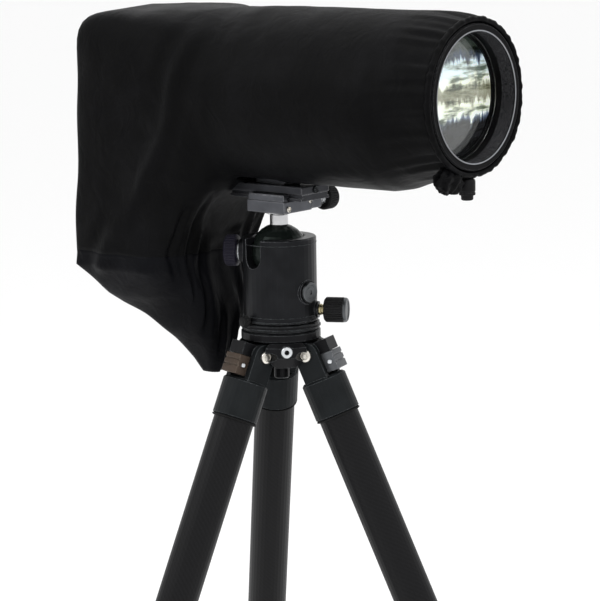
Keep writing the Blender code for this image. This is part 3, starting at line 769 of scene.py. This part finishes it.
lensAxis = place(0, 0, 211.7)
forward = Vector((0, -1, 0))
lensFrame = frameAt(lensAxis, forward, (0, 0, 1))
lensLook = dict(
    color=(0.0032, 0.0032, 0.0036), specular=0.05, rough=0.42, spread=0.08, metal=0.2, grain=2.2, bump=0.25,
    wearAndHighlight=0.7, edge=0.6, bareAndHighlight=(0.22, 0.22, 0.235),
)
lensBlack = cutFinish("lensBlack", lensLook)
frontRing = dict(
    segments=128, ring=True, threadFrom=203.6, threadTo=215.0, threadPitch=0.95,
    profile=[
        (54.7, 216.2), (55.3, 217.2), (60.4, 217.4), (61.5, 216.4), (61.5, 212.0), (61.1, 211.6), (61.1, 210.6),
        (61.5, 210.2), (61.5, 190.0), (60.9, 189.4), (60.9, 186.4), (61.5, 185.8), (61.5, 166.0), (55.0, 150.4),
        (46.5, 150.4), (46.5, 187.8), (54.9, 187.8),
    ],
)


def cutThread(piece):
    height = piece["threadFrom"]
    while height < piece["threadTo"]:
        piece["profile"] += [(54.9, height), (55.4, height + 0.35), (54.9, height + 0.7)]
        height += piece["threadPitch"]


cutThread(frontRing)
turnedPiece("frontRing", frontRing, lensFrame, lensBlack, "lens", "lens_black", "front_barrel")
# A thin grey metal ring along the black lip's inner edge: its lighter colour is a painted highlight on that edge.
lipHighlightMetal = turnedFinish("lipHighlightMetal", dict(color=(0.30, 0.31, 0.33), rough=0.35, metal=1.0), lensAxis, forward)
lipHighlightRing = dict(
    segments=128, ring=True, profile=[(54.8, 217.25), (55.9, 217.35), (55.9, 217.7), (55.3, 217.8), (54.8, 217.6)]
)
turnedPiece("frontLipHighlightRing", lipHighlightRing, lensFrame, lipHighlightMetal, "lens", "lens_black")


def coatedGlass():
    material, shader = newMaterial("coatedGlass")
    shader.inputs["Base Color"].default_value = (0.97, 0.99, 0.98, 1)
    shader.inputs["Transmission Weight"].default_value = 1.0
    shader.inputs["IOR"].default_value = 1.52
    shader.inputs["Specular IOR Level"].default_value = 0.12
    shader.inputs["Coat Weight"].default_value = 0.06
    shader.inputs["Coat Tint"].default_value = (0.88, 0.95, 0.92, 1)
    where = millimetres(material)
    dust = cloudy(material, where, 0.8, 5.0)
    join(material, ranged(material, dust, 0.45, 0.8, 0.005, 0.05), shader.inputs["Roughness"])
    bump = add(material, "Bump", {"Height": dust, "Strength": 0.01, "Distance": 0.0001})
    join(material, bump.outputs["Normal"], shader.inputs["Normal"])
    return material


frontElement = dict(
    segments=96,
    profile=[
        (0, 202.4), *((r, 202.4 - r * r / 620) for r in np.linspace(4, 54.2, 16)), (54.2, 196.6), (0, 199.4)
    ],
)
turnedPiece("frontElement", frontElement, lensFrame, coatedGlass(), "lens", "front_glass", "front_glass")


def paintedLensReflection():
    # Painted reflection: bright whitish-green bands and dark mottles painted into an inner disc's colour, darker
    # towards the top and bottom, standing in for the studio reflected in the lens's elements.
    material, shader = newMaterial("paintedLensReflection")
    where = millimetres(material)
    offset = fromPoint(material, where, lensAxis)
    split = add(material, "SeparateXYZ", {"Vector": offset})
    streaks, bands = (
        cloudy(material, add(
            material, "VectorMath", {0: offset, 1: Vector(stretch)}, operation="MULTIPLY"
        ).outputs["Vector"], 1.0, detail)
        for stretch, detail in (((0.22, 0.22, 0.035), 4.0), ((0.045, 0.045, 0.20), 5.0))
    )
    rise = calc(material, "ADD", scaled(material, split.outputs["Z"], 1 / 108), 0.5)
    jagged = calc(material, "ADD", scaled(material, calc(material, "SUBTRACT", streaks, 0.5), 0.24), rise)
    base = ramp(material, jagged, [
        (0.0, (0.004, 0.004, 0.005)), (0.27, (0.012, 0.012, 0.014)), (0.31, (0.10, 0.13, 0.20)),
        (0.345, (0.86, 0.90, 0.88)), (0.42, (0.88, 0.89, 0.80)), (0.47, (0.24, 0.23, 0.17)),
        (0.56, (0.34, 0.34, 0.26)), (0.60, (0.97, 0.97, 0.90)), (0.66, (0.72, 0.80, 0.86)),
        (0.745, (0.62, 0.72, 0.80)), (0.78, (0.03, 0.045, 0.09)), (0.86, (0.030, 0.040, 0.030)),
        (1.0, (0.006, 0.008, 0.010)),
    ])
    patches = ramp(material, bands, [
        (0.36, (0.12, 0.14, 0.10)), (0.47, (0.66, 0.66, 0.58)), (0.56, (1, 1, 1))
    ])
    broken = add(material, "Mix", {"Factor": 1.0}, data_type="RGBA", blend_type="MULTIPLY")
    join(material, base, broken.inputs["A"])
    join(material, patches, broken.inputs["B"])
    join(material, broken.outputs["Result"], shader.inputs["Base Color"])
    # The painted reflection is also made to glow.
    join(material, broken.outputs["Result"], shader.inputs["Emission Color"])
    shader.inputs["Emission Strength"].default_value = 0.8
    shader.inputs["Specular IOR Level"].default_value = 0.1
    shader.inputs["Roughness"].default_value = 0.25
    return material


# An inner disc that carries the painted reflection.
paintedReflectionElement = dict(
    segments=96,
    profile=[(0, 195.0), *((r, 195.0 - r * r / 900) for r in np.linspace(4, 51, 14)), (51, 190.5), (0, 190.5)],
)
turnedPiece("paintedReflectionElement", paintedReflectionElement, lensFrame, paintedLensReflection(), "lens", "front_glass")
retainer = dict(
    segments=96, ring=True, profile=[(51.3, 193.6), (53.6, 196.2), (54.3, 196.0), (54.3, 189.0), (51.3, 189.0)]
)
turnedPiece("elementRetainer", retainer, lensFrame, lensBlack, "lens", "lens_black")
print("lens front made")


# Knobs

upward = Vector((0, 0, 1))
knobLook = dict(
    color=(0.0075, 0.0075, 0.008), rough=0.5, spread=0.1, metal=0.1, grain=3.0, bump=0.3, wearAndHighlight=0.6, edge=0.35,
    bareAndHighlight=(0.16, 0.16, 0.16),
)
knobBlack = cutFinish("knobBlack", knobLook)
knobBlue = cutFinish("knobBlueBlack", dict(knobLook, color=(0.010, 0.009, 0.018), rough=0.45))
silver = turnedFinish("silverMetal", dict(color=(0.66, 0.68, 0.70), rough=0.28, metal=1.0), origin, upward)
dialGrey = turnedFinish("dialGrey", dict(color=(0.10, 0.105, 0.11), rough=0.34, metal=1.0), origin, upward)
brass = turnedFinish("brassMetal", dict(color=(0.50, 0.44, 0.26), rough=0.32, metal=1.0), origin, upward)


def hubFrame(jointName):
    joint = joints[jointName]
    return frameAt(Vector(joint["pos_m"]), Vector(joint["axis"]))


def ribbedProfile(radius, start, end, chamfer, rib):
    return [
        (0, start), (radius - chamfer - 0.8, start), (radius - 0.6, start + chamfer),
        (radius, start + chamfer + 0.6, rib), (radius, end - chamfer - 0.6, rib), (radius - 0.6, end - chamfer),
        (radius - chamfer, end - 0.3), (radius - chamfer - 0.5, end), (radius * 0.55, end),
        (radius * 0.5, end - 0.6), (0, end - 0.6),
    ]


mainKnob = dict(segments=180, ribs=30, profile=ribbedProfile(14.0, 36.8, 48.7, 1.2, 0.9))
mainKnobCollar = dict(segments=64, profile=[(0, 35.6), (9.2, 35.6), (9.2, 36.7), (0, 36.7)])
mainFrame = hubFrame("main_lock_turn")
turnedPiece("mainKnob", mainKnob, mainFrame, knobBlue, "main_lock_knob", "knob_blue_black", "main_lock_knob")
turnedPiece("mainKnobCollar", mainKnobCollar, mainFrame, silver, "main_lock_knob", "knob_blue_black")

panKnob = dict(
    segments=192, ribs=32,
    profile=[
        (0, 40.6), (9.6, 40.6), (10.9, 41.8), (11.2, 42.6, 0.85), (11.2, 57.4, 0.85), (10.8, 58.0), (0, 58.0)
    ],
)
panKnobEnd = dict(
    segments=96,
    profile=[
        (0, 58.1), (10.7, 58.1), (11.0, 58.5), (10.9, 59.8), (9.9, 60.9), (8.6, 61.0), (8.1, 60.2), (0, 60.2)
    ],
)
panKnobStem = dict(
    segments=64,
    profile=[
        (0, 35.3), (4.6, 35.3), (5.0, 35.7), (5.0, 37.4), (4.4, 37.8), (4.4, 38.6), (5.0, 39.0), (5.0, 40.5),
        (0, 40.5),
    ],
)
panFrame = hubFrame("pan_lock_turn")
turnedPiece("panKnob", panKnob, panFrame, knobBlack, "pan_lock_knob", "knob_black", "pan_lock_knob")
turnedPiece("panKnobEnd", panKnobEnd, panFrame, dialGrey, "pan_lock_knob", "knob_black")
turnedPiece("panKnobStem", panKnobStem, panFrame, brass, "pan_lock_knob", "knob_black")

clampKnob = dict(
    segments=192, ribs=32,
    profile=[
        (0, 46.4), (9.4, 46.4), (10.8, 47.6), (11.2, 48.4, 0.8), (11.2, 58.0, 0.8), (10.8, 58.8), (9.6, 60.0),
        (5.5, 60.0), (5.2, 59.2), (0, 59.2),
    ],
)
clampKnobStem = dict(
    segments=48, profile=[(0, 26.3), (4.5, 26.3), (4.5, 44.6), (5.6, 45.0), (5.6, 46.3), (0, 46.3)]
)
clampFrame = hubFrame("clamp_knob_turn")
turnedPiece("clampKnob", clampKnob, clampFrame, knobBlack, "clamp_knob", "knob_black", "clamp_knob")
turnedPiece("clampKnobStem", clampKnobStem, clampFrame, silver, "clamp_knob", "knob_black")

baseKnob = dict(
    segments=96, ribs=16,
    profile=[
        (0, 33.4), (2.0, 33.4), (2.0, 35.6), (4.2, 35.6), (4.8, 36.2), (4.8, 36.6, 0.5), (4.8, 41.0, 0.5),
        (4.4, 41.9), (3.6, 42.4), (0, 42.4),
    ],
)
baseFrame = hubFrame("base_knob_turn")
turnedPiece("baseKnob", baseKnob, baseFrame, knobBlack, "base_knob", "knob_black", "base_knob")

collarKnob = dict(
    segments=120, ribs=20,
    profile=[
        (0, 52.4), (5.8, 52.4), (6.6, 53.2), (7.0, 53.8, 0.6), (7.0, 65.4, 0.6), (6.5, 66.3), (5.4, 67.0),
        (0, 67.0),
    ],
)
collarFrame = hubFrame("collar_lock_turn")
turnedPiece(
    "collarKnob", collarKnob, collarFrame, knobBlack, "collar_lock_knob", "knob_black", "collar_lock_knob"
)

frictionDial = dict(
    segments=96,
    profile=[
        (0, 33.9), (8.6, 33.9), (9.0, 34.3), (9.0, 35.9), (8.4, 36.6), (6.6, 36.6), (6.3, 36.1), (5.2, 36.1),
        (4.9, 36.5), (2.0, 36.5), (1.7, 35.6), (0, 35.6),
    ],
)
dialFrame = hubFrame("friction_dial_turn")
turnedPiece("frictionDial", frictionDial, dialFrame, dialGrey, "friction_dial", "dial_silver", "friction_dial")

cordLock = dict(
    segments=64,
    profile=[
        (0, 135.6), (5.7, 135.6), (5.7, 130.2), (6.6, 130.0), (7.0, 130.6), (7.0, 132.0), (6.6, 132.4),
        (6.6, 133.2), (7.0, 133.6), (7.0, 141.6), (6.4, 143.2), (5.0, 144.0), (0, 144.0),
    ],
)
cordLockButton = dict(
    segments=48, profile=[(0, 125.6), (4.0, 125.6), (4.9, 126.1), (5.2, 126.9), (5.2, 131.6), (0, 131.6)]
)
cordFrame = frameAt(place(-4, -209.5, 0), upward)
turnedPiece("cordLock", cordLock, cordFrame, knobBlack, "lens", "knob_black", "cord_lock")
turnedPiece(
    "cordLockButton", cordLockButton, cordFrame, knobBlack, "cord_lock_button", "knob_black",
    "cord_lock_button",
)
print("knobs made")


# Tripod legs

tripodLook = dict(
    color=(0.011, 0.0125, 0.0135), rough=0.46, spread=0.09, metal=0.35, grain=1.6, bump=0.35,
    wearAndHighlight=0.8, edge=0.8, bareAndHighlight=(0.22, 0.24, 0.25),
)
anodisedLook = dict(tripodLook, color=(0.008, 0.008, 0.009), metal=0.4, rough=0.36, bump=0.15)
bronzeLook = dict(tripodLook, color=(0.060, 0.044, 0.034), rough=0.5, bareAndHighlight=(0.42, 0.36, 0.30))
greyLook = dict(tripodLook, color=(0.10, 0.105, 0.112), rough=0.4, metal=0.7, bareAndHighlight=(0.7, 0.7, 0.72))
rubberLook = dict(
    color=(0.008, 0.008, 0.008), rough=0.72, spread=0.08, metal=0.0, grain=4.0, bump=0.5, wearAndHighlight=0.3, edge=0.4,
    bareAndHighlight=(0.05, 0.05, 0.05),
)
yokeCasting = cutFinish("yokeCasting", tripodLook)
anodised = cutFinish("blackAnodised", anodisedLook)
bronze = cutFinish("bronzeTab", bronzeLook)
greyTab = cutFinish("greyTab", greyLook)
rubber = cutFinish("lockRubber", rubberLook)
carbonLook = dict(tows=46, pitch=2.4, color=(0.0040, 0.0040, 0.0046), rough=0.42, coat=0.14)


def legFrame(leg):
    fold, slide = joints[f"{leg}_leg_fold"], joints[f"{leg}_middle_slide"]
    up = -Vector(slide["axis"]).normalized()
    beside = Vector(fold["axis"]).normalized()
    across = beside.cross(up)
    pivot = Vector(fold["pos_m"])
    return axesAt(pivot, across, beside, up), across, beside, up


# start and end down the leg, the two tubes' radii and the step between them
lockSpans = dict(upper=(478.0, 523.0, 18.5, 16.5, 500.5), lower=(525.0, 567.0, 16.5, 14.5, 556.5))
lockRubber = dict(wall=4.2, ribs=28, ribDepth=0.9, segments=168)


def makeLock(leg, lock, where):
    start, end, wide, narrow, step = lockSpans[lock]
    rim, rib = wide + lockRubber["wall"], lockRubber["ribDepth"]
    profile = [
        (wide, -start), (rim - 1.6, -start), (rim - 0.5, -start - 0.9), (rim - 0.2, -start - 3.0),
        (rim - 0.9, -start - 3.6), (rim - 0.9, -start - 4.6),
        (rim, -start - 5.2, rib), (rim, -end + 9.5, rib),
        (rim - 0.7, -end + 8.6), (rim - 2.2, -end + 0.8), (rim - 2.9, -end), (narrow, -end),
        (narrow, -step), (wide, -step),
    ]
    grip = dict(lockRubber, ring=True, profile=profile)
    node = f"{leg}_{lock}_lock"
    turnedPiece(f"{leg}{lock.capitalize()}Grip", grip, where, rubber, node, "lock_rubber", node)


stopTab = dict(
    low=(11.0, -10.3, -21.6), high=(22.5, 10.3, -4.2), edge=1.3,
    grooves=[((23.0, 0, -9.2), (3.0, 30, 1.3)), ((23.0, 0, -14.6), (3.0, 30, 1.3))],  # centre and size of each
)
stopPin = dict(segments=32, profile=[(0, 0), (2.1, 0), (2.1, 1.4), (1.6, 2.0), (0, 2.2)])


def makeTab(leg, where, material):
    node = f"{leg}_angle_stop"
    tab = block(f"{leg}StopTab", stopTab["low"], stopTab["high"], where, stopTab["edge"], stopTab["grooves"])
    settle(tab, material, node, "grey_tab" if leg == "right" else "bronze_tab", node)
    for side, letter in ((-1, "A"), (1, "B")):
        pinFrame = where @ frameAt(Vector((0.0170, side * 0.0103, -0.0130)), Vector((0, side, 0)))
        turnedPiece(f"{leg}StopPin{letter}", stopPin, pinFrame, silver, node, "bolt_steel")


boltHead = [
    (0, 19.6), (2.0, 19.6), (2.3, 18.9), (3.1, 18.9), (3.4, 19.6), (4.6, 19.5), (5.5, 19.0), (5.8, 18.2),
    (5.8, 16.8), (4.1, 16.8),
]
pivotBolt = dict(segments=48, profile=boltHead + [(r, -h) for r, h in reversed(boltHead)])
tubeSeal = dict(
    segments=72, ring=True,
    profile=[(18.2, -59.3), (20.2, -59.3), (20.4, -59.6), (20.2, -60.4), (18.9, -61.0), (18.2, -61.0)],
)
boltSteel = turnedFinish("boltSteel", dict(color=(0.72, 0.69, 0.63), rough=0.22, metal=1.0), origin, upward)

for leg in legs:
    where, across, beside, up = legFrame(leg)
    pivot = Vector(joints[f"{leg}_leg_fold"]["pos_m"])
    carbon = carbonFinish(f"{leg}Carbon", carbonLook, pivot, (across, beside, up))
    repaint(carbon, f"{leg}_upper_tube", f"{leg}_middle_tube", f"{leg}_lower_tube")
    repaint(yokeCasting, f"{leg}_yoke")
    repaint(rubber, f"{leg}_foot")
    for lock in lockSpans:
        makeLock(leg, lock, where)
    makeTab(leg, where, greyTab if leg == "right" else bronze)
    boltFrame = where @ frameAt(Vector((0, 0, 0)), Vector((0, 1, 0)))
    turnedPiece(
        f"{leg}PivotBolt", pivotBolt, boltFrame, boltSteel, "tripod_top", "bolt_steel", f"{leg}_pivot_bolt"
    )
    turnedPiece(f"{leg}TubeSeal", tubeSeal, where, rubber, f"{leg}_leg", "lock_rubber")
print("legs finished")


# Head, clamp and camera

housingLook = dict(
    tripodLook, color=(0.013, 0.0135, 0.015), metal=0.6, rough=0.34, spread=0.06, grain=2.6, bump=0.12,
    bareAndHighlight=(0.30, 0.31, 0.33),
)
ballLook = dict(tripodLook, color=(0.012, 0.016, 0.014), metal=0.5, rough=0.28, bump=0.08, wearAndHighlight=0.3)
clampLook = dict(
    tripodLook, color=(0.085, 0.088, 0.098), metal=0.85, rough=0.36, spread=0.08, bump=0.25,
    bareAndHighlight=(0.6, 0.6, 0.62),
)
footLook = dict(
    tripodLook, color=(0.030, 0.031, 0.035), metal=0.7, rough=0.32, bump=0.15, bareAndHighlight=(0.5, 0.5, 0.52)
)
screenLook = dict(knobLook, color=(0.006, 0.006, 0.008), rough=0.1, spread=0.04, bump=0.02, wearAndHighlight=0.1)
gripLook = dict(knobLook, color=(0.014, 0.014, 0.014), rough=0.75, metal=0.0, bump=0.8, grain=1.4)
bodyLook = dict(knobLook, color=(0.016, 0.016, 0.017), rough=0.55, metal=0.0, bump=0.6, grain=1.8)
housingBlack = cutFinish("housingSatin", housingLook)
ballFinish = cutFinish("ballHardCoat", ballLook)
clampGrey = cutFinish("clampGrey", clampLook)
footFinish = cutFinish("lensFootSatin", footLook)
neckSteel = turnedFinish("neckSteel", dict(color=(0.62, 0.62, 0.63), rough=0.24, metal=1.0), origin, upward)
screenBlack = cutFinish("screenBlack", screenLook)
gripRubber = cutFinish("gripRubber", gripLook)
cameraBlack = cutFinish("cameraBlack", bodyLook)

repaint(anodised, "apex", "platform", "platform_screw", "pan_base")
repaint(housingBlack, "housing")
repaint(ballFinish, "ball")
repaint(neckSteel, "ball_neck")
repaint(silver, "accessory_socket", "lens_bayonet")
repaint(clampGrey, "clamp_body", "clamp_jaw")
repaint(footFinish, "lens_foot")
repaint(lensBlack, "tripod_collar", "lens_barrel")
repaint(gripRubber, "focus_ring", "eyecup")
repaint(cameraBlack, "camera_body")
repaint(screenBlack, "rear_screen")
repaint(knobBlack, "shutter_button")


footRing = dict(segments=128, ring=True, profile=[(32.9, 3.6), (33.3, 3.9), (33.3, 4.9), (32.9, 5.2)])
panBaseRing = dict(segments=128, ring=True, profile=[(34.9, -2.6), (35.6, -2.3), (35.6, -1.3), (34.9, -1.0)])
housingLines = dict(housingLowerLine=8.2, housingUpperLine=72.5)  # heights
clampScrews = [(-20.0, 106.0, 2.6), (9.5, 110.5, 2.2)]  # x, z and radius
footScrew = dict(
    segments=32,
    profile=[(0, 1.2), (1.4, 1.2), (1.6, 0.7), (2.4, 0.7), (2.8, 1.5), (3.2, 1.2), (3.2, 0.05), (0, 0.05)],
)


def screwProfile(radius):
    return [
        (0, 0.9), (radius * 0.45, 0.9), (radius * 0.5, 0.3), (radius * 0.75, 0.3), (radius * 0.8, 1.2),
        (radius, 0.9), (radius, 0.05), (0, 0.05),
    ]


upright = frameAt(place(0, 0, 0), upward)
turnedPiece("housingFootRing", footRing, upright, anodised, "housing", "black_anodised")
for name, height in housingLines.items():
    profile = [(32.85, height), (33.05, height + 0.15), (33.05, height + 0.55), (32.85, height + 0.7)]
    turnedPiece(name, dict(footRing, profile=profile), upright, anodised, "housing", "black_anodised")
turnedPiece("panBaseRing", panBaseRing, upright, anodised, "tripod_top", "black_anodised")
for index, (x, z, radius) in enumerate(clampScrews):
    screw = dict(segments=32, profile=screwProfile(radius))
    screwFrame = frameAt(place(x, -28.0, z), forward)
    turnedPiece(f"clampScrew{index}", screw, screwFrame, boltSteel, "clamp", "bolt_steel")
stopFrame = frameAt(place(0, -42.5, 122.2), forward)
turnedPiece("footStopScrew", footScrew, stopFrame, anodised, "lens_mount", "black_anodised")
print("head finished")
